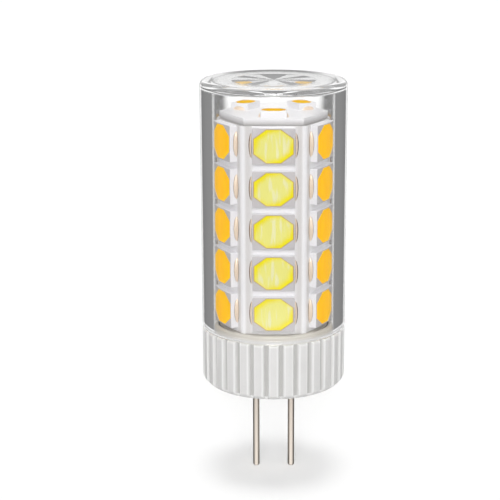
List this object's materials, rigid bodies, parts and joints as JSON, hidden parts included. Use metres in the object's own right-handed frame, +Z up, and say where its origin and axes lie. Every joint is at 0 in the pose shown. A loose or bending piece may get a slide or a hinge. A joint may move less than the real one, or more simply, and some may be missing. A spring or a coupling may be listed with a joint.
{
  "type": "corn led bulb",
  "caption": "Plug-in corn LED bulb: a clear cylindrical cover over a faceted column of yellow LEDs, on a ribbed ceramic base with straight contact pins.",
  "frame": {"origin": "middle of the base's flat bottom, halfway between the two pins", "axes": "+Z up along the lamp's axis to the top of the cover, X through both pins, -Y out of the front LED strip"},
  "size_m": [0.016, 0.016, 0.045],
  "materials": {
    "base_ceramic": "matt, off-white, faint speckle",
    "pin_nickel": "nickel plated, satin",
    "clear_plastic": "clear, polished",
    "board_white": "white solder mask, satin",
    "led_plastic": "pale grey moulding, satin",
    "phosphor_front": "lemon-yellow phosphor in clear resin",
    "phosphor_side": "orange-yellow phosphor in clear resin",
    "phosphor_top": "amber phosphor in clear resin",
    "terminal_metal": "tinned copper, peach tint, satin",
    "black_epoxy": "black moulding, matt",
    "ferrite": "dark grey ferrite, matt",
    "capacitor_ceramic": "tan ceramic with tinned ends",
    "resistor_film": "dark film on ceramic with tinned ends"
  },
  "bodies": {
    "root": {"bridge_rectifier": "black_epoxy", "ceramic_base": "base_ceramic", "clear_cover": "clear_plastic", "contact_pin_left": "pin_nickel", "contact_pin_right": "pin_nickel", "driver_board": "board_white", "driver_ic": "black_epoxy", "freewheel_diode": "black_epoxy", "inductor": "ferrite", "input_capacitor": "capacitor_ceramic", "led_housings_strip_1": "led_plastic", "led_housings_strip_2": "led_plastic", "led_housings_strip_3": "led_plastic", "led_housings_strip_4": "led_plastic", "led_housings_strip_5": "led_plastic", "led_housings_strip_6": "led_plastic", "led_housings_top": "led_plastic", "led_phosphors_strip_1": "phosphor_front", "led_phosphors_strip_2": "phosphor_side", "led_phosphors_strip_3": "phosphor_side", "led_phosphors_strip_4": "phosphor_side", "led_phosphors_strip_5": "phosphor_side", "led_phosphors_strip_6": "phosphor_side", "led_phosphors_top": "phosphor_top", "led_strip_1": "board_white", "led_strip_2": "board_white", "led_strip_3": "board_white", "led_strip_4": "board_white", "led_strip_5": "board_white", "led_strip_6": "board_white", "led_terminals_strip_1": "terminal_metal", "led_terminals_strip_2": "terminal_metal", "led_terminals_strip_3": "terminal_metal", "led_terminals_strip_4": "terminal_metal", "led_terminals_strip_5": "terminal_metal", "led_terminals_strip_6": "terminal_metal", "led_terminals_top": "terminal_metal", "output_capacitor": "capacitor_ceramic", "sense_resistor": "resistor_film", "top_board": "board_white"}
  },
  "joints": []
}
